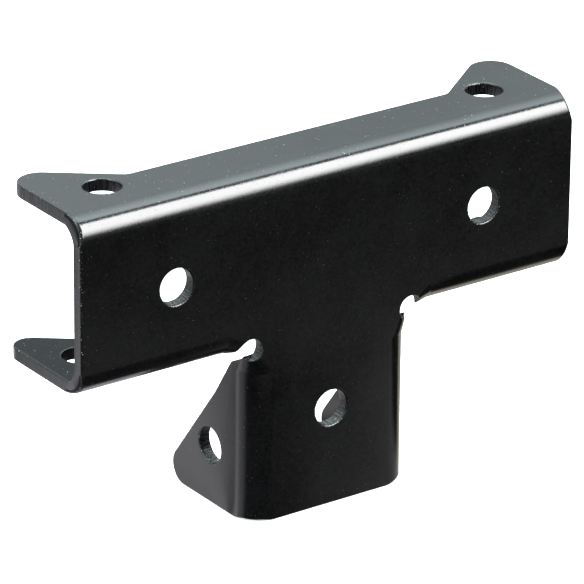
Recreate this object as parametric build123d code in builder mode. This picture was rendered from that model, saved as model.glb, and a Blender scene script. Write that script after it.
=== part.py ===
from build123d import *
from math import cos, radians, sin, tan
import os

# T-shaped shelf connector, folded from one sheet of steel.
# The flat T face lies in the XZ plane, with the arms along X and the stem pointing down.
# The flanges fold back towards +Y. The origin is where the centre lines of the arms and
# the stem cross, on the inner side of the face, which seats against the timber.
# A depth is measured back from the outer side of the face.

# Sheet and folds, in millimetres
sheet = 3.0
fold_inner_radius = 3.5
timber_thickness = 38.0
stem_clearance = 2.0

# Arms: a channel that lies across, with its flanges above and below the timber
arm_length = 138.0
flange_depth = 17.5
arm_ear_depth = 30.2
top_ear_hole_from_end = 15.3
top_ear_hole_depth = 14.7
top_ear_tip_radius = 5.5
lower_ear_hole_from_end = 10.3
lower_ear_hole_depth = 16.4
lower_ear_tip_radius = 4.1

# Stem: a shorter channel that hangs from the middle of the arms
stem_drop = 65.5
stem_ear_depth = 32.0
stem_tip_radius = 4.5
stem_ear_hole_from_end = 14.5
stem_ear_hole_depth = 16.5
stem_knee_depth = 14.5

# Ears slope away from the fold by this angle, and their corners are rounded
ear_slope = 37.5
ear_foot_radius = 3.0
shoulder_radius = 2.5

# Holes in the face
hole_diameter = 9.0
arm_hole_spacing = 86.5
stem_hole_drop = 41.0

# Round reliefs where an arm fold and a stem fold would meet. Both folds tighten towards them.
relief_radius = sheet + 0.15
relief_inset = 0.4
relief_rise = 0.8
tight_inner_radius = 0.3
tightening_length = 6.0

# Where the flanges start beside a relief. A clearance is measured from the inner corner of
# the T, along the flange's own fold.
arm_flange_clearance = 4.3
arm_shoulder_clearance = 5.4
arm_shoulder_depth = 7.5
arm_shoulder_run = 6.5
stem_lip_clearance = 1.4
stem_flange_clearance = 3.3
stem_flange_start_depth = 4.7
stem_shoulder_clearance = 4.25
stem_shoulder_depth = 7.8

# Sizes that follow from the ones above
arm_height = timber_thickness + 2 * sheet
stem_width = timber_thickness + stem_clearance + 2 * sheet
half_length = arm_length / 2
half_height = arm_height / 2
half_width = stem_width / 2
fold_outer_radius = fold_inner_radius + sheet
tight_outer_radius = tight_inner_radius + sheet
fold_zone = fold_outer_radius + 1
hole_radius = hole_diameter / 2


def sharp_tip_depth(depth, tip_radius):
    # how deep an ear's corner would reach before its tip is rounded
    slope = radians(ear_slope)
    return depth + tip_radius * ((1 + sin(slope)) / cos(slope) - 1)


def fold_section(plane, outer_radius, depth):
    # the sheet cut across one fold: the plane's origin is the sharp outer corner, its x axis
    # runs out along the flange and its y axis back along the face
    with BuildSketch(plane) as section:
        with BuildLine():
            outside = FilletPolyline((0, fold_zone), (0, 0), (depth, 0), radius=outer_radius)
            inside = FilletPolyline(
                (sheet, fold_zone),
                (sheet, sheet),
                (depth, sheet),
                radius=outer_radius - sheet,
            )
            Line(outside @ 0, inside @ 0)
            Line(outside @ 1, inside @ 1)
        make_face()
    return section.sketch


def top_fold(x):
    return Plane(origin=(x, -sheet, half_height), x_dir=(0, 1, 0), z_dir=(-1, 0, 0))


def arm_fold(x):
    return Plane(origin=(x, -sheet, -half_height), x_dir=(0, 1, 0), z_dir=(1, 0, 0))


def stem_fold(z):
    return Plane(origin=(half_width, -sheet, z), x_dir=(0, 1, 0), z_dir=(0, 0, 1))


# Flat T face, up to where the folds begin, with its three holes
with BuildPart() as face:
    with BuildSketch(Plane.XZ):
        Rectangle(arm_length, arm_height - 2 * fold_zone)
        with Locations((0, -half_height)):
            Rectangle(stem_width, half_height, align=(Align.CENTER, Align.MIN))
        with Locations((0, -stem_drop)):
            Rectangle(
                stem_width - 2 * fold_zone, stem_drop, align=(Align.CENTER, Align.MIN)
            )
        with GridLocations(arm_hole_spacing, 1, 2, 1):
            Circle(hole_radius, mode=Mode.SUBTRACT)
        with Locations((0, -stem_hole_drop)):
            Circle(hole_radius, mode=Mode.SUBTRACT)
    extrude(amount=sheet)

# The ears above and below are cut to the same lines. Their tips and holes differ, so that a
# screw from above and a screw from below miss each other in the timber.
arm_sharp_tip = sharp_tip_depth(arm_ear_depth, top_ear_tip_radius)
arm_ear_length = (arm_sharp_tip - flange_depth) / tan(radians(ear_slope))
arm_ear_foot = half_length - arm_ear_length

# Top flange, in one length, with an ear at each end
with BuildPart() as top_flange:
    extrude(fold_section(top_fold(half_length), fold_outer_radius, arm_sharp_tip), arm_length)
    with BuildSketch(Plane.XY):
        with BuildLine():
            Polyline(
                (0, -sheet),
                (0, flange_depth - sheet),
                (arm_ear_foot, flange_depth - sheet),
                (half_length, arm_sharp_tip - sheet),
                (half_length, -sheet),
                close=True,
            )
        make_face()
        fillet(vertices().group_by(Axis.Y)[1].sort_by(Axis.X)[-1], ear_foot_radius)
        fillet(vertices().group_by(Axis.Y)[-1], top_ear_tip_radius)
        with Locations((half_length - top_ear_hole_from_end, top_ear_hole_depth - sheet)):
            Circle(hole_radius, mode=Mode.SUBTRACT)
        mirror(about=Plane.YZ)
    extrude(amount=arm_height, mode=Mode.INTERSECT)

# Lower flange of the right arm. Its fold tightens towards the relief at the stem.
arm_transition_end = half_width + tightening_length
arm_shoulder = half_width + arm_shoulder_clearance
with BuildPart() as arm_flange:
    loft(
        [
            fold_section(arm_fold(half_width), tight_outer_radius, arm_sharp_tip),
            fold_section(arm_fold(arm_transition_end), fold_outer_radius, arm_sharp_tip),
        ]
    )
    extrude(
        fold_section(arm_fold(arm_transition_end), fold_outer_radius, arm_sharp_tip),
        half_length - arm_transition_end,
    )
    with BuildSketch(Plane.XY.offset(-half_height)):
        with BuildLine():
            Polyline(
                (half_width, -sheet),
                (half_width, 0),
                (half_width + arm_flange_clearance, 0),
                (arm_shoulder, arm_shoulder_depth - sheet),
                (arm_shoulder + arm_shoulder_run, flange_depth - sheet),
                (arm_ear_foot, flange_depth - sheet),
                (half_length, arm_sharp_tip - sheet),
                (half_length, -sheet),
                close=True,
            )
        make_face()
        fillet(vertices().group_by(Axis.Y)[2], shoulder_radius)
        fillet(vertices().group_by(Axis.Y)[-2].sort_by(Axis.X)[-1], ear_foot_radius)
        fillet(vertices().group_by(Axis.Y)[-1], lower_ear_tip_radius)
        with Locations((half_length - lower_ear_hole_from_end, lower_ear_hole_depth - sheet)):
            Circle(hole_radius, mode=Mode.SUBTRACT)
    extrude(amount=half_height, mode=Mode.INTERSECT)

# Right flange of the stem, cut back above and ending in an ear below
stem_sharp_tip = sharp_tip_depth(stem_ear_depth, stem_tip_radius)
stem_knee_rise = (stem_sharp_tip - stem_knee_depth) / tan(radians(ear_slope))
stem_transition_end = -half_height - tightening_length
with BuildPart() as stem_flange:
    loft(
        [
            fold_section(stem_fold(-half_height), tight_outer_radius, stem_sharp_tip),
            fold_section(stem_fold(stem_transition_end), fold_outer_radius, stem_sharp_tip),
        ]
    )
    extrude(
        fold_section(stem_fold(-stem_drop), fold_outer_radius, stem_sharp_tip),
        stem_transition_end + stem_drop,
    )
    with BuildSketch(Plane.YZ):
        with BuildLine():
            Polyline(
                (-sheet, -half_height),
                (0, -half_height),
                (0, -half_height - stem_lip_clearance),
                (stem_flange_start_depth - sheet, -half_height - stem_flange_clearance),
                (stem_shoulder_depth - sheet, -half_height - stem_shoulder_clearance),
                (stem_knee_depth - sheet, -stem_drop + stem_knee_rise),
                (stem_sharp_tip - sheet, -stem_drop),
                (-sheet, -stem_drop),
                close=True,
            )
        make_face()
        fillet(vertices().group_by(Axis.X)[3], shoulder_radius)
        fillet(vertices().group_by(Axis.X)[-1], stem_tip_radius)
        with Locations((stem_ear_hole_depth - sheet, -stem_drop + stem_ear_hole_from_end)):
            Circle(hole_radius, mode=Mode.SUBTRACT)
    extrude(amount=half_width, mode=Mode.INTERSECT)

# One folded part, with the two round reliefs cut through the face
with BuildPart() as t_connector:
    add(arm_flange.part)
    add(stem_flange.part)
    mirror(about=Plane.YZ)
    add(top_flange.part)
    add(face.part)
    with BuildSketch(Plane.XZ):
        with Locations((0, relief_rise - half_height)):
            with GridLocations(2 * (half_width - relief_inset), 1, 2, 1):
                Circle(relief_radius)
    extrude(amount=sheet, mode=Mode.SUBTRACT)

t_connector.part.label = "t_connector"
os.makedirs("parts", exist_ok=True)
export_step(t_connector.part, "parts/t_connector.step")
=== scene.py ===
from math import atan2, cos, hypot, pi, radians, sin

import bpy
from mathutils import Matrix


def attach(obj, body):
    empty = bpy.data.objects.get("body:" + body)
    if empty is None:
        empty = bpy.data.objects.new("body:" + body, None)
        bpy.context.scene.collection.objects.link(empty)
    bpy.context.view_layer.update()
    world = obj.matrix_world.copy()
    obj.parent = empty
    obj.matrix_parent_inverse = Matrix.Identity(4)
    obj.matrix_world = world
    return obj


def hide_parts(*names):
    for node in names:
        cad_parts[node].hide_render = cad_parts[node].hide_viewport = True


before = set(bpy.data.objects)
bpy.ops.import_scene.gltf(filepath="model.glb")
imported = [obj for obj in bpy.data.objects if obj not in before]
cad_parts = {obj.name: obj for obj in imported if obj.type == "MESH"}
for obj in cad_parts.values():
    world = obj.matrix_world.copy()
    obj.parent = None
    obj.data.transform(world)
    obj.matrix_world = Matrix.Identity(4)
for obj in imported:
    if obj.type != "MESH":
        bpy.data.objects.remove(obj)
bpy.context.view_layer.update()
mm = 0.001
print("frame loaded, nodes:", sorted(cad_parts))

bpy.context.scene.view_settings.view_transform = "Standard"


# Camera, where the photograph was taken from

cameraPlace = {
    "location": (-646.68 * mm, -902.19 * mm, 468.45 * mm),
    "turn": (66.55853, -0.47497, -35.0304),
    "lens": 322.6,
    "sensorWidth": 36,
    "clipStart": 50 * mm,
}

bpy.ops.object.camera_add(
    location=cameraPlace["location"],
    rotation=[radians(angle) for angle in cameraPlace["turn"]],
)
camera = bpy.context.object
camera.name = "photoCamera"
camera.data.lens = cameraPlace["lens"]
camera.data.sensor_width = cameraPlace["sensorWidth"]
camera.data.clip_start = cameraPlace["clipStart"]
bpy.context.scene.camera = camera
print("camera placed")


# The folded sheet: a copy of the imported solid, with its cut rims rounded and the ends of
# its folds shaped as bending leaves them

sheetShape = {
    # lengths in millimetres and angles in degrees
    "halfLength": 69.0,
    "halfHeight": 22.0,
    "stemHalfWidth": 23.0,
    "stemBottom": -65.5,
    "faceFront": -3.0,
    "foldOuter": 6.5,
    "foldInner": 3.5,
    "mergeWithin": 0.001,
    "flatWithin": 0.2,
    # how near a spot counts as on a face, and how much of a normal has to point along an axis
    # on the flat faces and the folded ends, or may do so on the wall of a hole
    "near": 0.01,
    "faceNormal": 0.99,
    "endNormal": 0.5,
    "wallNormal": 0.1,
    # a ring inside the rim of each folded end, how deep an end reaches into the part, how
    # far it bulges at each distance from the middle of the fold, and where it is drawn in
    "endRing": 1.0,
    "endDepth": 1.5,
    "endProfile": ((3.5, 0.3), (4.5, 0.15), (5.5, -0.1), (6.5, -0.8)),
    "drawnFrom": 5.6,
    "coatThickness": 0.1,
    "rimSegments": 3,
    "rimAngle": 40,
    # how wide a rim is rounded: by its distance from these corners beside a relief, and more
    # round the outside of the holes and at the arms' ends
    "reliefCorners": ((26.5, 0, -21.5), (22.0, 0, -23.8)),
    "rimWidths": ((2.0, 0.056), (4.5, 0.28)),
    "wideRim": 0.5,
    "endReach": 1.0,
    "flatFaceWeight": 60,
    # punched holes by the axis they run along, each with its centre and radius
    "holes": {
        0: ((13.5, -51.0, 4.5),),
        1: ((43.25, 0.0, 4.5), (-43.25, 0.0, 4.5), (0.0, -41.0, 4.5)),
        2: ((53.7, 11.7, 4.5), (-53.7, 11.7, 4.5), (58.7, 13.4, 4.5), (-58.7, 13.4, 4.5)),
    },
    "reliefs": {1: ((22.6, -21.2, 3.15), (-22.6, -21.2, 3.15))},
    "punchedReach": 0.15,
}

slotNames = (
    "blackCoat",
    "coatedCutEdge",
    "rolledRim",
    "thinInnerCoat",
    "punchedWall",
    "drawnRim",
    "punchedRim",
)


def makeActive(item):
    for other in bpy.context.selected_objects:
        other.select_set(False)
    item.select_set(True)
    bpy.context.view_layer.objects.active = item


def copyOfNode(nodeName, pieceName):
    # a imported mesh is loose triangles, so the copy is merged and its flat faces made whole
    makeActive(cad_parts[nodeName])
    bpy.ops.object.duplicate()
    piece = bpy.context.object
    piece.name = pieceName
    piece.data.name = pieceName
    piece.parent = None
    for key in list(piece.keys()):
        del piece[key]
    makeActive(piece)
    bpy.ops.mesh.customdata_custom_splitnormals_clear()
    bpy.ops.object.mode_set(mode="EDIT")
    bpy.ops.mesh.select_all(action="SELECT")
    bpy.ops.mesh.remove_doubles(threshold=sheetShape["mergeWithin"] * mm)
    bpy.ops.mesh.dissolve_limited(angle_limit=radians(sheetShape["flatWithin"]))
    bpy.ops.object.mode_set(mode="OBJECT")
    return piece


def editFaces(piece, test):
    # opens edit mode with the faces that pass the test selected
    bpy.ops.object.mode_set(mode="EDIT")
    bpy.ops.mesh.select_mode(type="FACE")
    bpy.ops.mesh.select_all(action="DESELECT")
    bpy.ops.object.mode_set(mode="OBJECT")
    for face in piece.data.polygons:
        face.select = test(face.center / mm, face.normal)
    bpy.ops.object.mode_set(mode="EDIT")


def finishFaces(piece, slotName):
    # gives the selected faces their finish, and leaves edit mode
    piece.active_material_index = slotNames.index(slotName)
    bpy.ops.object.material_slot_assign()
    bpy.ops.object.mode_set(mode="OBJECT")


def levelAt(value, stops):
    # straight between the stops, and level beyond them
    for (low, first), (high, second) in zip(stops, stops[1:]):
        if value < high:
            share = max(0, (value - low) / (high - low))
            return first + share * (second - first)
    return stops[-1][1]


def foldPlace(spot):
    # where a spot on a folded end lies round its fold: the axis and the side that the end
    # faces, then the distances from the middle of the fold
    x, y, z = spot
    depth = y - sheetShape["faceFront"] - sheetShape["foldOuter"]
    if abs(x) > sheetShape["halfLength"] - sheetShape["endDepth"]:
        across = abs(z) - (sheetShape["halfHeight"] - sheetShape["foldOuter"])
        return (0, 1 if x > 0 else -1), across, depth
    if z < sheetShape["stemBottom"] + sheetShape["endDepth"]:
        across = abs(x) - (sheetShape["stemHalfWidth"] - sheetShape["foldOuter"])
        return (2, -1), across, depth
    return None, 0, 0


def isOuterFace(centre, normal):
    onFace = abs(centre.y - sheetShape["faceFront"]) < sheetShape["near"]
    return onFace and normal.y < -sheetShape["faceNormal"]


def isInnerFace(centre, normal):
    return abs(centre.y) < sheetShape["near"] and normal.y > sheetShape["faceNormal"]


def isFoldedEnd(centre, normal):
    onArmEnd = abs(abs(centre.x) - sheetShape["halfLength"]) < sheetShape["near"]
    return onArmEnd or abs(centre.z - sheetShape["stemBottom"]) < sheetShape["near"]


def shapeFoldEnds(piece):
    # round a fold the outer rim is drawn in and the inner rim bulges out
    armEnd = sheetShape["halfLength"] - sheetShape["near"]
    stemEnd = sheetShape["stemBottom"] + sheetShape["near"]
    for vertex in piece.data.vertices:
        spot = vertex.co / mm
        facing, across, depth = foldPlace(spot)
        onEnd = abs(spot.x) > armEnd or spot.z < stemEnd
        if onEnd and facing and across > 0 and depth < 0:
            swell = sin(2 * atan2(across, -depth))
            axis, side = facing
            bulge = levelAt(hypot(across, depth), sheetShape["endProfile"])
            vertex.co[axis] += side * swell * bulge * mm


def punchedAxis(spot, punches):
    # the axis of the hole that a spot lies on the wall or the rim of
    for axis, holes in punches.items():
        across, along = [place for place in range(3) if place != axis]
        for acrossPlace, alongPlace, radius in holes:
            gap = hypot(spot[across] - acrossPlace, spot[along] - alongPlace)
            if abs(gap - radius) < sheetShape["punchedReach"]:
                return axis
    return None


def isPunchedWall(centre, normal):
    axis = punchedAxis(centre, sheetShape["holes"])
    if axis is None and centre.y < 0:
        axis = punchedAxis(centre, sheetShape["reliefs"])
    return axis is not None and abs(normal[axis]) < sheetShape["wallNormal"]


def isDrawnRim(centre, normal):
    facing, across, depth = foldPlace(centre)
    if not facing or across < 0 or depth > 0:
        return False
    axis, side = facing
    facesOut = normal[axis] * side > sheetShape["endNormal"]
    return facesOut and hypot(across, depth) > sheetShape["drawnFrom"]


def rimWidth(middle, isOuter):
    # wide on the outside of the holes and the arms' ends, and narrow where several rims meet
    # beside a relief
    onArmEnd = (
        abs(middle.x) > sheetShape["halfLength"] - sheetShape["endReach"]
        and middle.y < sheetShape["foldInner"]
    )
    if isOuter and (onArmEnd or punchedAxis(middle, sheetShape["holes"]) is not None):
        return sheetShape["wideRim"]
    gap = min(
        hypot(abs(middle.x) - x, middle.y - y, middle.z - z)
        for x, y, z in sheetShape["reliefCorners"]
    )
    return levelAt(gap, sheetShape["rimWidths"])


connector = copyOfNode("t_connector", "foldedSheet")
editFaces(connector, isFoldedEnd)
bpy.ops.mesh.inset(thickness=sheetShape["endRing"] * mm, use_even_offset=True)
bpy.ops.object.mode_set(mode="OBJECT")
editFaces(connector, isFoldedEnd)
bpy.ops.mesh.quads_convert_to_tris(quad_method="BEAUTY", ngon_method="BEAUTY")
bpy.ops.object.mode_set(mode="OBJECT")
shapeFoldEnds(connector)
print("copy of the sheet merged, fold ends shaped")

# every face starts as cut edge, then the two skins of the sheet, the walls of its holes and
# its drawn-in fold ends take their own finishes; on the drawn-in ends that finish is a
# darker, duller coat that paints their shade
connector.data.materials.clear()
for slotName in slotNames:
    connector.data.materials.append(bpy.data.materials.new(slotName))
cutEdges = [slotNames.index("coatedCutEdge")] * len(connector.data.polygons)
connector.data.polygons.foreach_set("material_index", cutEdges)

for slotName, test in (("blackCoat", isOuterFace), ("thinInnerCoat", isInnerFace)):
    editFaces(connector, test)
    bpy.ops.mesh.faces_select_linked_flat(sharpness=radians(sheetShape["rimAngle"]))
    finishFaces(connector, slotName)
for slotName, test in (("punchedWall", isPunchedWall), ("drawnRim", isDrawnRim)):
    editFaces(connector, test)
    finishFaces(connector, slotName)

faceCounts = dict.fromkeys(slotNames, 0)
for face in connector.data.polygons:
    faceCounts[slotNames[face.material_index]] += 1
print("faces by finish:", faceCounts)

# the coat lies on the steel, and every sharp rim is rounded
bpy.ops.object.mode_set(mode="EDIT")
bpy.ops.mesh.select_all(action="SELECT")
bpy.ops.transform.shrink_fatten(value=sheetShape["coatThickness"] * mm)
bpy.ops.mesh.select_mode(type="EDGE")
bpy.ops.mesh.select_all(action="DESELECT")
bpy.ops.mesh.edges_select_sharp(sharpness=radians(sheetShape["rimAngle"]))
bpy.ops.object.mode_set(mode="OBJECT")
outerRims = set()
for face in connector.data.polygons:
    if face.material_index == slotNames.index("blackCoat"):
        outerRims.update(face.edge_keys)
rimWeights = connector.data.attributes.new("bevel_weight_edge", "FLOAT", "EDGE")
for edge in connector.data.edges:
    if edge.select:
        ends = [connector.data.vertices[index].co / mm for index in edge.vertices]
        width = rimWidth((ends[0] + ends[1]) / 2, edge.key in outerRims)
        rimWeights.data[edge.index].value = width / sheetShape["wideRim"]

makeActive(connector)
bpy.ops.object.shade_smooth()
rimBevel = connector.modifiers.new("roundedRims", "BEVEL")
rimBevel.width = sheetShape["wideRim"] * mm
rimBevel.segments = sheetShape["rimSegments"]
rimBevel.limit_method = "WEIGHT"
rimBevel.use_clamp_overlap = False
rimBevel.loop_slide = False
rimBevel.material = slotNames.index("rolledRim")
bpy.ops.object.modifier_apply(modifier=rimBevel.name)
faceWeights = connector.modifiers.new("flatFaces", "WEIGHTED_NORMAL")
faceWeights.keep_sharp = True
faceWeights.weight = sheetShape["flatFaceWeight"]
bpy.ops.object.modifier_apply(modifier=faceWeights.name)

# the rims of the punched holes carry on the lines of their walls
rimSpots = set()
for face in connector.data.polygons:
    if face.material_index == slotNames.index("punchedWall"):
        rimSpots.update(face.vertices)
for ring in range(sheetShape["rimSegments"]):
    nextSpots = set()
    for face in connector.data.polygons:
        isRim = face.material_index == slotNames.index("rolledRim")
        if isRim and rimSpots.intersection(face.vertices):
            face.material_index = slotNames.index("punchedRim")
            nextSpots.update(face.vertices)
    rimSpots.update(nextSpots)
print("rims rounded, faces:", len(connector.data.polygons))

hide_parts("t_connector")
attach(connector, "root")


# Small helpers for nodes. A place is where the node lies in the editor.


def feed(tree, socket, value):
    # a socket takes a plain value or another node's output
    if isinstance(value, bpy.types.NodeSocket):
        tree.links.new(value, socket)
    else:
        socket.default_value = value


def addNode(tree, kind, place, inputs=None, **settings):
    node = tree.nodes.new(kind)
    node.location = place
    for name, value in settings.items():
        setattr(node, name, value)
    for name, value in (inputs or {}).items():
        feed(tree, node.inputs[name], value)
    return node


def addMath(tree, place, operation, *values, **settings):
    inputs = dict(enumerate(values))
    node = addNode(tree, "ShaderNodeMath", place, inputs, operation=operation, **settings)
    return node.outputs["Value"]


def addVectorMath(tree, place, operation, inputs):
    return addNode(tree, "ShaderNodeVectorMath", place, inputs, operation=operation)


def addRange(tree, place, value, before, after=(0, 1), course="LINEAR"):
    # takes a value from one range to another, and holds it inside
    limits = dict(zip(("From Min", "From Max", "To Min", "To Max"), (*before, *after)))
    inputs = {"Value": value, **limits}
    node = addNode(tree, "ShaderNodeMapRange", place, inputs, interpolation_type=course)
    return node.outputs["Result"]


def addMix(tree, place, factor, first, second, blend="MIX", kind="RGBA"):
    inputs = {"Factor": factor, "A": first, "B": second}
    node = addNode(tree, "ShaderNodeMix", place, inputs, data_type=kind, blend_type=blend)
    return node.outputs["Result"]


def addRamp(tree, place, value, levels, brightest):
    # a grey for each value, straight between the stops, where white is the brightest level
    low, high = levels["between"]
    share = addRange(tree, place, value, (low, high))
    ramp = addNode(tree, "ShaderNodeValToRGB", (place[0] + 200, place[1]), {"Fac": share})
    elements = ramp.color_ramp.elements
    while len(elements) < len(levels["stops"]):
        elements.new(0.5)
    for element, (where, level) in zip(elements, levels["stops"]):
        element.position = (where - low) / (high - low)
        element.color = [level / brightest] * 3 + [1]
    return ramp.outputs["Color"]


def startGroup(name, vectors, values, results):
    tree = bpy.data.node_groups.new(name, "ShaderNodeTree")
    for socketName in vectors:
        tree.interface.new_socket(socketName, in_out="INPUT", socket_type="NodeSocketVector")
    for socketName in values:
        tree.interface.new_socket(socketName, in_out="INPUT", socket_type="NodeSocketFloat")
    for socketName in results:
        tree.interface.new_socket(socketName, in_out="OUTPUT", socket_type="NodeSocketFloat")
    return tree


# Finishes: one black powder coat, as it lies on each kind of surface, with painted shade and
# painted highlights on some of them

coatFinish = {
    "blackCoat": {
        "color": (0.0036, 0.0036, 0.0038),
        "roughness": 0.165,
        "shine": 0.5,
        "peelHeight": 0.012,
        "texture": {
            "Speck share": 0.3,
            "Speck reach": 0.17,
            "Speck scale": 1900,
            "Faintest speck": 0.01,
            "Brightest speck": 0.3,
            "Dust": 2.2,
        },
    },
    "thinInnerCoat": {
        "color": (0.0036, 0.0036, 0.0038),
        "roughness": 0.36,
        "shine": 0.11,
        "peelHeight": 0.02,
        "texture": {
            "Speck share": 0.3,
            "Speck reach": 0.2,
            "Speck scale": 1700,
            "Faintest speck": 0.02,
            "Brightest speck": 0.4,
            "Dust": 2.0,
        },
    },
    "coatedCutEdge": {
        "color": (0.0028, 0.0028, 0.003),
        "roughness": 0.25,
        "shine": 0.5,
        "peelHeight": 0.015,
        "texture": {
            "Speck share": 0.35,
            "Speck reach": 0.2,
            "Speck scale": 1700,
            "Faintest speck": 0.02,
            "Brightest speck": 0.5,
            "Dust": 1.0,
        },
        "cut": {"scale": 1300, "height": 0.12, "paintedRidgeHighlight": (0.006, 0.006, 0.006)},
    },
    # its darker colour paints part of the shade of the rim's dark band, and its many bright specks
    # are painted glints along the rounded rim
    "rolledRim": {
        "color": (0.0018, 0.0018, 0.0019),
        "roughness": 0.24,
        "shine": 0.5,
        "peelHeight": 0.06,
        "texture": {
            "Speck share": 0.7,
            "Speck reach": 0.34,
            "Speck scale": 2400,
            "Faintest speck": 0.05,
            "Brightest speck": 0.9,
            "Dust": 1.0,
        },
    },
    "punchedWall": {
        "color": (0.0015, 0.0015, 0.0016),
        "roughness": 0.24,
        "shine": 0.5,
        "peelHeight": 0.015,
        "texture": {
            "Speck share": 0.6,
            "Speck reach": 0.24,
            "Speck scale": 2300,
            "Faintest speck": 0.01,
            "Brightest speck": 0.3,
            "Dust": 4.0,
        },
        "cut": {"scale": 2200, "height": 0.5, "paintedRidgeHighlight": (0.018, 0.019, 0.02)},
    },
    # a darker, duller copy of the cut-edge coat that paints the shade on the drawn-in ends of the
    # folds
    "drawnRim": {
        "color": (0.002, 0.002, 0.0021),
        "roughness": 0.5,
        "shine": 0.12,
        "peelHeight": 0.03,
        "texture": {
            "Speck share": 0.4,
            "Speck reach": 0.2,
            "Speck scale": 1900,
            "Faintest speck": 0.02,
            "Brightest speck": 0.5,
            "Dust": 1.0,
        },
    },
    # as on the rolled rim, its darker colour paints part of the rim's dark band, and its many
    # bright specks are painted glints
    "punchedRim": {
        "color": (0.0018, 0.0018, 0.0019),
        "roughness": 0.22,
        "shine": 0.6,
        "peelHeight": 0.03,
        "texture": {
            "Speck share": 0.7,
            "Speck reach": 0.34,
            "Speck scale": 2400,
            "Faintest speck": 0.05,
            "Brightest speck": 0.9,
            "Dust": 1.0,
        },
        "cut": {"scale": 2400, "height": 0.13, "paintedRidgeHighlight": (0.006, 0.0062, 0.0065)},
    },
}

# what all the finishes share
coatGrain = {
    "refraction": 1.5,
    "peelNoise": {"Scale": 1500, "Detail": 2, "Roughness": 0.55},
    "glossNoise": {"Scale": 70, "Detail": 3, "Roughness": 0.6},
    # the gloss changes between these levels of its noise, by these shares of the roughness
    "glossBetween": (0.3, 0.7),
    "glossShares": (0.85, 1.15),
    # the shade follows the peel and partly the gloss, by these shares of the coat's colour
    "glossInShade": 0.4,
    "shadeBetween": (0.38, 0.62),
    "shadeShares": (0.1, 2.0),
    # specks: how their cells are turned, their sizes, how high they stand, where on them the
    # full colour starts, and how rare the bright ones are
    "speckTurn": (0.6, 0.9, 0.35),
    "speckSizes": (0.4, 1.0),
    "speckRise": 3,
    "speckCrown": 0.35,
    "speckRarity": 3,
    # dust settles as a surface turns upwards, and makes the specks larger and brighter
    "dustBetween": (0.4, 0.95),
    "dustSwell": 0.4,
    # which of the noise's crests are ridges on a cut wall
    "ridgeBetween": (0.45, 0.58),
}


def makeCoatTexture():
    # fine orange peel, scattered bright specks, settled dust and a slow change of gloss
    tree = startGroup(
        "coatTexture",
        ("Vector", "Normal"),
        ("Speck share", "Speck reach", "Speck scale", "Faintest speck", "Brightest speck", "Dust"),
        ("Height", "Specks", "Speck level", "Gloss change", "Shade", "Settled dust"),
    )
    given = addNode(tree, "NodeGroupInput", (-1100, 0)).outputs
    spot = {"Vector": given["Vector"]}
    peelNoise = {**spot, **coatGrain["peelNoise"]}
    peel = addNode(tree, "ShaderNodeTexNoise", (-600, 300), peelNoise).outputs["Fac"]
    glossNoise = {**spot, **coatGrain["glossNoise"]}
    gloss = addNode(tree, "ShaderNodeTexNoise", (-600, 600), glossNoise).outputs["Fac"]
    both = addMix(tree, (200, 500), coatGrain["glossInShade"], peel, gloss, kind="FLOAT")
    shade = addRange(tree, (400, 500), both, coatGrain["shadeBetween"])

    facing = addNode(tree, "ShaderNodeSeparateXYZ", (-900, -500), {"Vector": given["Normal"]})
    upward = facing.outputs["Z"]
    settled = addRange(tree, (-700, -500), upward, coatGrain["dustBetween"], (1, given["Dust"]))
    swell = addMath(tree, (-500, -500), "POWER", settled, coatGrain["dustSwell"])
    reach = addMath(tree, (-300, -500), "MULTIPLY", swell, given["Speck reach"])

    # each cell rolls for whether it has a speck, how large and how bright
    turn = {**spot, "Rotation": coatGrain["speckTurn"]}
    turned = addNode(tree, "ShaderNodeMapping", (-800, 0), turn).outputs["Vector"]
    cellSize = {"Vector": turned, "Scale": given["Speck scale"]}
    cells = addNode(tree, "ShaderNodeTexVoronoi", (-600, 0), cellSize, feature="F1")
    roll = {"Color": cells.outputs["Color"]}
    dice = addNode(tree, "ShaderNodeSeparateColor", (-400, -100), roll).outputs
    chosen = addMath(tree, (-200, 100), "LESS_THAN", dice["Green"], given["Speck share"])
    size = addRange(tree, (-200, -100), dice["Red"], (0, 1), coatGrain["speckSizes"])
    radius = addMath(tree, (0, -100), "MULTIPLY", size, reach)
    rare = addMath(tree, (-200, -300), "POWER", dice["Blue"], coatGrain["speckRarity"])
    levels = (given["Faintest speck"], given["Brightest speck"])
    level = addRange(tree, (0, -300), rare, (0, 1), levels)
    lit = addMath(tree, (200, -300), "MULTIPLY", level, settled, use_clamp=True)

    # a speck is a small mound, highest in its middle
    mound = addRange(tree, (200, 0), cells.outputs["Distance"], (0, radius), (1, 0))
    shown = addMath(tree, (400, 0), "MULTIPLY", mound, chosen)
    crown = addRange(tree, (600, -100), shown, (0, coatGrain["speckCrown"]))
    height = addMath(tree, (800, 150), "MULTIPLY_ADD", shown, coatGrain["speckRise"], peel)

    results = {
        "Height": height,
        "Specks": crown,
        "Speck level": lit,
        "Gloss change": gloss,
        "Shade": shade,
        "Settled dust": settled,
    }
    addNode(tree, "NodeGroupOutput", (1100, 0), results)
    return tree


cutLines = {
    "noise": {"Detail": 2, "Roughness": 0.6},
    # the noise's scale through the thickness, which draws it out into lines
    "drawnOut": 0.05,
    # where the sheet is folded back, beyond these distances from the middle
    "armFlange": 18.8 * mm,
    "stemFlange": 19.8 * mm,
    "stemBelow": -22.3 * mm,
    "behindFace": 0.1 * mm,
}


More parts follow.
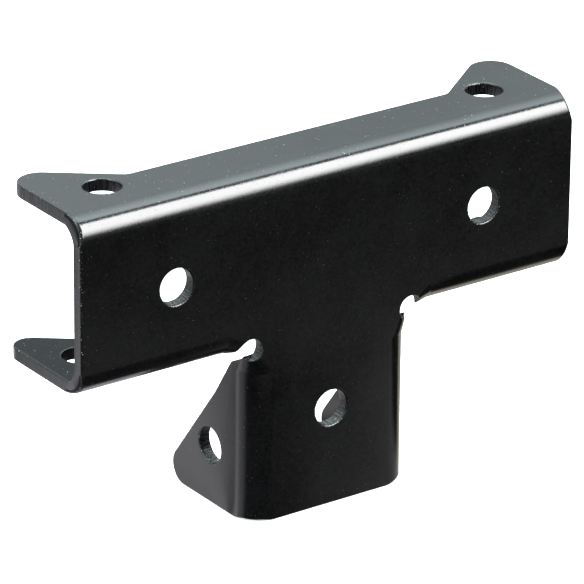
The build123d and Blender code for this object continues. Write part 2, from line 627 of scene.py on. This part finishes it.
def makeCutTexture():
    # fine lines through the thickness of the sheet, whichever way it is folded
    tree = startGroup("cutTexture", ("Vector",), ("Scale",), ("Lines",))
    given = addNode(tree, "NodeGroupInput", (-1300, 0)).outputs
    spot = {"Vector": given["Vector"]}
    parts = addNode(tree, "ShaderNodeSeparateXYZ", (-1100, 0), spot).outputs
    rise = addMath(tree, (-900, 100), "ABSOLUTE", parts["Z"])
    outOfArms = addMath(tree, (-750, 100), "GREATER_THAN", rise, cutLines["armFlange"])
    reach = addMath(tree, (-900, -100), "ABSOLUTE", parts["X"])
    outOfStem = addMath(tree, (-750, -100), "GREATER_THAN", reach, cutLines["stemFlange"])
    onStem = addMath(tree, (-900, -300), "LESS_THAN", parts["Z"], cutLines["stemBelow"])
    behind = addMath(tree, (-900, 300), "GREATER_THAN", parts["Y"], cutLines["behindFace"])
    armFlange = addMath(tree, (-600, 100), "SUBTRACT", outOfArms, onStem, use_clamp=True)
    stemFlange = addMath(tree, (-600, -200), "MULTIPLY", outOfStem, onStem)
    onArms = addMath(tree, (-400, 100), "MULTIPLY", armFlange, behind)
    onEars = addMath(tree, (-400, -200), "MULTIPLY", stemFlange, behind)
    folded = addMath(tree, (-300, 0), "ADD", onArms, onEars)

    drawnOut = cutLines["drawnOut"]
    stretches = {
        "X": addRange(tree, (-100, 200), onEars, (0, 1), (1, drawnOut)),
        "Y": addRange(tree, (-100, 0), folded, (0, 1), (drawnOut, 1)),
        "Z": addRange(tree, (-100, -200), onArms, (0, 1), (1, drawnOut)),
    }
    stretch = addNode(tree, "ShaderNodeCombineXYZ", (100, -100), stretches).outputs["Vector"]
    flattened = addVectorMath(tree, (300, 0), "MULTIPLY", {0: given["Vector"], 1: stretch})
    noise = {"Vector": flattened.outputs["Vector"], "Scale": given["Scale"]}
    noise.update(cutLines["noise"])
    lines = addNode(tree, "ShaderNodeTexNoise", (500, 0), noise).outputs["Fac"]
    addNode(tree, "NodeGroupOutput", (900, 0), {"Lines": lines})
    return tree


coatTexture = makeCoatTexture()
cutTexture = makeCutTexture()


def makeCoat(material, finish):
    material.use_nodes = True
    tree = material.node_tree
    tree.nodes.clear()
    place = addNode(tree, "ShaderNodeTexCoord", (-1100, 0)).outputs
    inputs = {"Vector": place["Object"], "Normal": place["Normal"], **finish["texture"]}
    coatNode = addNode(tree, "ShaderNodeGroup", (-800, 0), inputs, node_tree=coatTexture)
    texture = coatNode.outputs

    # the coat's shade changes in patches and grains, and on the ridges of a cut a painted
    # highlight makes it paler, more so where dust settles on a wall that faces up
    dark, pale = (
        [share * level for level in finish["color"]] + [1] for share in coatGrain["shadeShares"]
    )
    coat = addMix(tree, (-200, 400), texture["Shade"], dark, pale)
    bump = {
        "Strength": 1.0,
        "Distance": finish["peelHeight"] * mm,
        "Height": texture["Height"],
    }
    if "cut" in finish:
        cut = finish["cut"]
        inputs = {"Vector": place["Object"], "Scale": cut["scale"]}
        cutNode = addNode(tree, "ShaderNodeGroup", (-800, -400), inputs, node_tree=cutTexture)
        lines = cutNode.outputs["Lines"]
        ridge = addRange(tree, (-400, 200), lines, coatGrain["ridgeBetween"])
        # the pale ridge colour is a painted highlight, made paler where dust settles on upward
        # faces
        inputs = {0: cut["paintedRidgeHighlight"], "Scale": texture["Settled dust"]}
        ridgeHighlightAndDust = addVectorMath(tree, (-200, 600), "SCALE", inputs)
        coat = addMix(tree, (0, 400), ridge, coat, ridgeHighlightAndDust.outputs["Vector"])
        cutBump = {"Strength": 1.0, "Distance": cut["height"] * mm, "Height": lines}
        bump["Normal"] = addNode(tree, "ShaderNodeBump", (0, -400), cutBump).outputs["Normal"]

    colour = addMix(tree, (300, 300), texture["Specks"], coat, texture["Speck level"])
    shares = [finish["roughness"] * share for share in coatGrain["glossShares"]]
    gloss = texture["Gloss change"]
    roughness = addRange(tree, (300, 0), gloss, coatGrain["glossBetween"], shares)
    normal = addNode(tree, "ShaderNodeBump", (300, -300), bump).outputs["Normal"]
    look = {
        "Base Color": colour,
        "Roughness": roughness,
        "Normal": normal,
        "IOR": coatGrain["refraction"],
        "Specular IOR Level": finish["shine"],
    }
    shader = addNode(tree, "ShaderNodeBsdfPrincipled", (600, 0), look)
    addNode(tree, "ShaderNodeOutputMaterial", (900, 0), {"Surface": shader.outputs["BSDF"]})


for slotName, finish in coatFinish.items():
    makeCoat(bpy.data.materials[slotName], finish)
print("finishes made")


# Studio. The camera sees a pale floor and a white surrounding. Every other ray sees painted
# light on the floor, which the coat mirrors: painted bright behind the part and dark in front
# of it. Above it mirrors a tent that brightens to its top, a narrow gap, and a softbox in front.

floorLight = {
    "size": 6.0,
    "paint": {
        "Base Color": (0.86, 0.855, 0.845, 1),
        "Roughness": 0.8,
        "Specular IOR Level": 0.1,
        "Emission Color": (1, 1, 1, 1),
        "Emission Strength": 0.5,
    },
    "brightest": 4.0,
    # behind the part the light is cool on the left and warm on the right, and it changes
    # between these two places
    "leftTint": (1.0, 0.99, 1.07, 1),
    "rightTint": (1.0, 0.93, 0.8, 1),
    "warmBetween": (14 * mm, 26 * mm),
    # left of the stem, by the angle round its fold in degrees
    "fanCentre": (-20 * mm, 1 * mm),
    "fan": {
        "between": (-30, 100),
        "stops": (
            (-15, 0.03),
            (-8, 0.2),
            (-4, 0.4),
            (5, 0.78),
            (15, 0.87),
            (25, 1.25),
            (34, 1.8),
            (40, 1.2),
            (45, 0.75),
            (51, 0.35),
            (55, 0.4),
            (60, 1.0),
            (66, 1.15),
            (82, 0.9),
            (92, 0.15),
        ),
    },
    # right of the stem, by the distance behind the face in millimetres
    "steps": {
        "between": (-20, 120),
        "stops": (
            (-5, 0.0),
            (-2, 0.1),
            (1, 0.45),
            (6, 1.0),
            (12, 1.15),
            (20, 0.95),
            (35, 0.6),
            (60, 0.5),
            (100, 0.4),
        ),
    },
    # a painted bright patch of light behind the stem, by the distance from its middle
    "patchPlace": (7 * mm, 43 * mm, 0),
    "patch": {
        "between": (0, 40),
        "stops": (
            (0, 3.4),
            (7, 3.4),
            (10, 0.9),
            (12, 0.0),
        ),
    },
    # a painted glow in front, slanted to show upright in the face of the stem, by the distance
    # across it, and how it fades towards the viewer
    "glowAcross": (1, 0.72, 0),
    "glow": {
        "between": (-30, 45),
        "stops": (
            (-30, 0.0),
            (-24, 0.02),
            (-18, 0.05),
            (-12, 0.09),
            (-6, 0.16),
            (-1, 0.21),
            (5, 0.25),
            (10, 0.31),
            (15, 0.46),
            (20, 0.54),
            (27, 0.5),
            (33, 0.3),
            (39, 0.1),
            (45, 0.0),
        ),
    },
    "glowFade": {
        "between": (-90, 0),
        "stops": (
            (-90, 0.0),
            (-80, 0.3),
            (-71, 0.6),
            (-60, 0.8),
            (-45, 1.0),
        ),
    },
    # in front of the part, by the distance from the face
    "front": {
        "between": (-400, 0),
        "stops": (
            (-400, 0.14),
            (-160, 0.11),
            (-120, 0.13),
            (-98, 0.24),
            (-84, 0.2),
            (-68, 0.05),
            (-40, 0.03),
            (0, 0.04),
        ),
    },
}


def addFloorLight(tree):
    # the floor's light as every ray but the camera's sees it is painted: pools of light and dark
    # set by place on the floor
    brightest = floorLight["brightest"]
    where = addNode(tree, "ShaderNodeTexCoord", (-2000, -300)).outputs["Object"]
    split = addNode(tree, "ShaderNodeSeparateXYZ", (-1800, -300), {"Vector": where}).outputs
    back = addMath(tree, (-1600, -400), "MULTIPLY", split["Y"], 1 / mm)

    # behind the part: a fan left of the stem, and steps right of it
    fanX, fanY = floorLight["fanCentre"]
    fanAcross = addMath(tree, (-1600, 0), "SUBTRACT", fanX, split["X"])
    fanBack = addMath(tree, (-1600, -200), "SUBTRACT", split["Y"], fanY)
    fanAngle = addMath(tree, (-1400, -100), "ARCTAN2", fanBack, fanAcross)
    fanDegrees = addMath(tree, (-1300, -100), "MULTIPLY", fanAngle, 180 / pi)
    fan = addRamp(tree, (-1200, -100), fanDegrees, floorLight["fan"], brightest)
    tint = floorLight["leftTint"]
    leftLit = addMix(tree, (-700, 0), 1, fan, tint, blend="MULTIPLY")
    steps = addRamp(tree, (-1200, -400), back, floorLight["steps"], brightest)
    tint = floorLight["rightTint"]
    rightLit = addMix(tree, (-700, -300), 1, steps, tint, blend="MULTIPLY")
    change = floorLight["warmBetween"]
    warm = addRange(tree, (-700, -600), split["X"], change, course="SMOOTHSTEP")
    lit = addMix(tree, (-500, -200), warm, leftLit, rightLit)

    # the patch behind the stem
    inputs = {0: where, 1: floorLight["patchPlace"]}
    gap = addVectorMath(tree, (-900, -900), "DISTANCE", inputs).outputs["Value"]
    fromPatch = addMath(tree, (-800, -900), "MULTIPLY", gap, 1 / mm)
    patch = addRamp(tree, (-700, -900), fromPatch, floorLight["patch"], brightest)
    lit = addMix(tree, (-400, -500), 1, lit, patch, blend="ADD")

    # the dark front, with the slanted glow and a faint band further out
    inputs = {0: where, 1: floorLight["glowAcross"]}
    run = addVectorMath(tree, (-900, -1200), "DOT_PRODUCT", inputs).outputs["Value"]
    across = addMath(tree, (-800, -1200), "MULTIPLY", run, 1 / mm)
    glow = addRamp(tree, (-700, -1200), across, floorLight["glow"], brightest)
    fade = addRamp(tree, (-900, -1800), back, floorLight["glowFade"], 1)
    glow = addMix(tree, (-400, -1600), 1, glow, fade, blend="MULTIPLY")
    front = addRamp(tree, (-900, -1500), back, floorLight["front"], brightest)
    front = addMix(tree, (-300, -1300), 1, front, glow, blend="ADD")
    lit = addMix(tree, (-200, -500), 1, lit, front, blend="ADD")
    full = (brightest, brightest, brightest, 1)
    return addMix(tree, (-100, -300), 1, lit, full, blend="MULTIPLY")


bpy.ops.mesh.primitive_plane_add(
    size=floorLight["size"], location=(0, 0, sheetShape["stemBottom"] * mm)
)
floor = bpy.context.object
floor.name = "studioFloor"
floorPaint = bpy.data.materials.new("paleFloor")
floorPaint.use_nodes = True
tree = floorPaint.node_tree
paint = tree.nodes["Principled BSDF"]
for name, value in floorLight["paint"].items():
    feed(tree, paint.inputs[name], value)
# for every ray but the camera's the floor glows with its painted light
mirrored = addNode(tree, "ShaderNodeEmission", (100, -300), {"Color": addFloorLight(tree)})
rays = addNode(tree, "ShaderNodeLightPath", (-100, 400)).outputs
choice = {0: rays["Is Camera Ray"], 1: mirrored.outputs["Emission"], 2: paint.outputs["BSDF"]}
chosen = addNode(tree, "ShaderNodeMixShader", (300, 0), choice).outputs["Shader"]
feed(tree, tree.nodes["Material Output"].inputs["Surface"], chosen)
floor.data.materials.append(floorPaint)

# brightness of the tent by its angle over the part, from the back (0) over the top to the
# front (180), and how it falls off towards the right
tent = {
    "seen": 1.1,
    "strength": 8.0,
    "tint": (0.87, 1.0, 1.03, 1),
    "angles": {
        "between": (0, 180),
        "stops": (
            (0, 0.15),
            (14, 0.4),
            (22, 1.1),
            (28, 1.3),
            (44, 2.0),
            (58, 2.5),
            (68, 3.3),
            (78, 4.8),
            (88, 6.2),
            (95, 7.4),
            (102, 7.6),
            (104, 0.8),
            (140, 0.8),
            (165, 0.5),
            (180, 0.4),
        ),
    },
    "fallsBetween": (0.513, 0.545),
    "fallShares": (1.1, 0.84),
}

world = bpy.data.worlds.new("studioAir")
bpy.context.scene.world = world
world.use_nodes = True
tree = world.node_tree
tree.nodes.clear()
direction = addNode(tree, "ShaderNodeTexCoord", (-1100, -50)).outputs["Generated"]
parts = addNode(tree, "ShaderNodeSeparateXYZ", (-900, -50), {"Vector": direction}).outputs
angle = addMath(tree, (-700, -50), "ARCTAN2", parts["Z"], parts["Y"])
degrees = addMath(tree, (-550, -50), "MULTIPLY", angle, 180 / pi)
ramp = addRamp(tree, (-450, -50), degrees, tent["angles"], tent["strength"])
tinted = addMix(tree, (0, -50), 1, ramp, tent["tint"], blend="MULTIPLY")
share = addRange(tree, (-300, -350), parts["X"], tent["fallsBetween"], tent["fallShares"])
strength = addMath(tree, (200, -350), "MULTIPLY", share, tent["strength"])
mirroredAir = {"Color": tinted, "Strength": strength}
around = addNode(tree, "ShaderNodeBackground", (500, -50), mirroredAir)
seenAir = {"Color": (1, 1, 1, 1), "Strength": tent["seen"]}
seen = addNode(tree, "ShaderNodeBackground", (500, 150), seenAir)
rays = addNode(tree, "ShaderNodeLightPath", (500, 500)).outputs
choice = {
    0: rays["Is Camera Ray"],
    1: around.outputs["Background"],
    2: seen.outputs["Background"],
}
chosen = addNode(tree, "ShaderNodeMixShader", (700, 0), choice).outputs["Shader"]
addNode(tree, "ShaderNodeOutputWorld", (900, 0), {"Surface": chosen})

# the softbox lies along the arms' folds, and fades towards its lower edge
frontSoftbox = {
    "rise": 36.6,
    "distance": 0.9,
    "sideways": 0.6,
    "width": 0.9,
    "height": 0.981,
    # how strongly the coat mirrors it, and how strongly it lights everything
    "mirrored": 25.0,
    "lighting": 5.0,
    # the line that its light fades across is tilted round a place near its middle
    "tilt": 0.4,
    "tiltPlace": -0.04,
    "levels": {
        "between": (0, 1),
        "stops": (
            (0.0, 0.0),
            (0.1, 0.02),
            (0.2, 0.14),
            (0.28, 0.38),
            (0.36, 0.62),
            (0.44, 0.8),
            (0.54, 0.93),
            (1.0, 0.93),
        ),
    },
}

lift = radians(frontSoftbox["rise"])
reach = frontSoftbox["distance"]
bpy.ops.mesh.primitive_plane_add(
    size=1,
    location=(frontSoftbox["sideways"], -reach * cos(lift), reach * sin(lift)),
    rotation=(pi / 2 - lift, 0, 0),
)
softbox = bpy.context.object
softbox.name = "frontSoftbox"
softbox.scale = (frontSoftbox["width"], frontSoftbox["height"], 1)
softbox.visible_camera = False
softbox.visible_shadow = False
cloth = bpy.data.materials.new("softboxCloth")
cloth.use_nodes = True
tree = cloth.node_tree
tree.nodes.clear()
place = addNode(tree, "ShaderNodeTexCoord", (-400, 0)).outputs["Object"]
parts = addNode(tree, "ShaderNodeSeparateXYZ", (-200, 0), {"Vector": place}).outputs
tilt = frontSoftbox["tilt"]
up = addMath(tree, (0, -200), "MULTIPLY_ADD", parts["X"], -tilt, parts["Y"])
up = addMath(tree, (150, -200), "ADD", up, 0.5 + frontSoftbox["tiltPlace"] * tilt)
fading = addRamp(tree, (200, 0), up, frontSoftbox["levels"], 1)
rays = addNode(tree, "ShaderNodeLightPath", (0, 400)).outputs
powers = (frontSoftbox["lighting"], frontSoftbox["mirrored"])
power = addRange(tree, (200, 300), rays["Is Glossy Ray"], (0, 1), powers)
shine = addNode(tree, "ShaderNodeEmission", (700, 0), {"Color": fading, "Strength": power})
addNode(tree, "ShaderNodeOutputMaterial", (900, 0), {"Surface": shine.outputs["Emission"]})
softbox.data.materials.append(cloth)
print("studio lit")
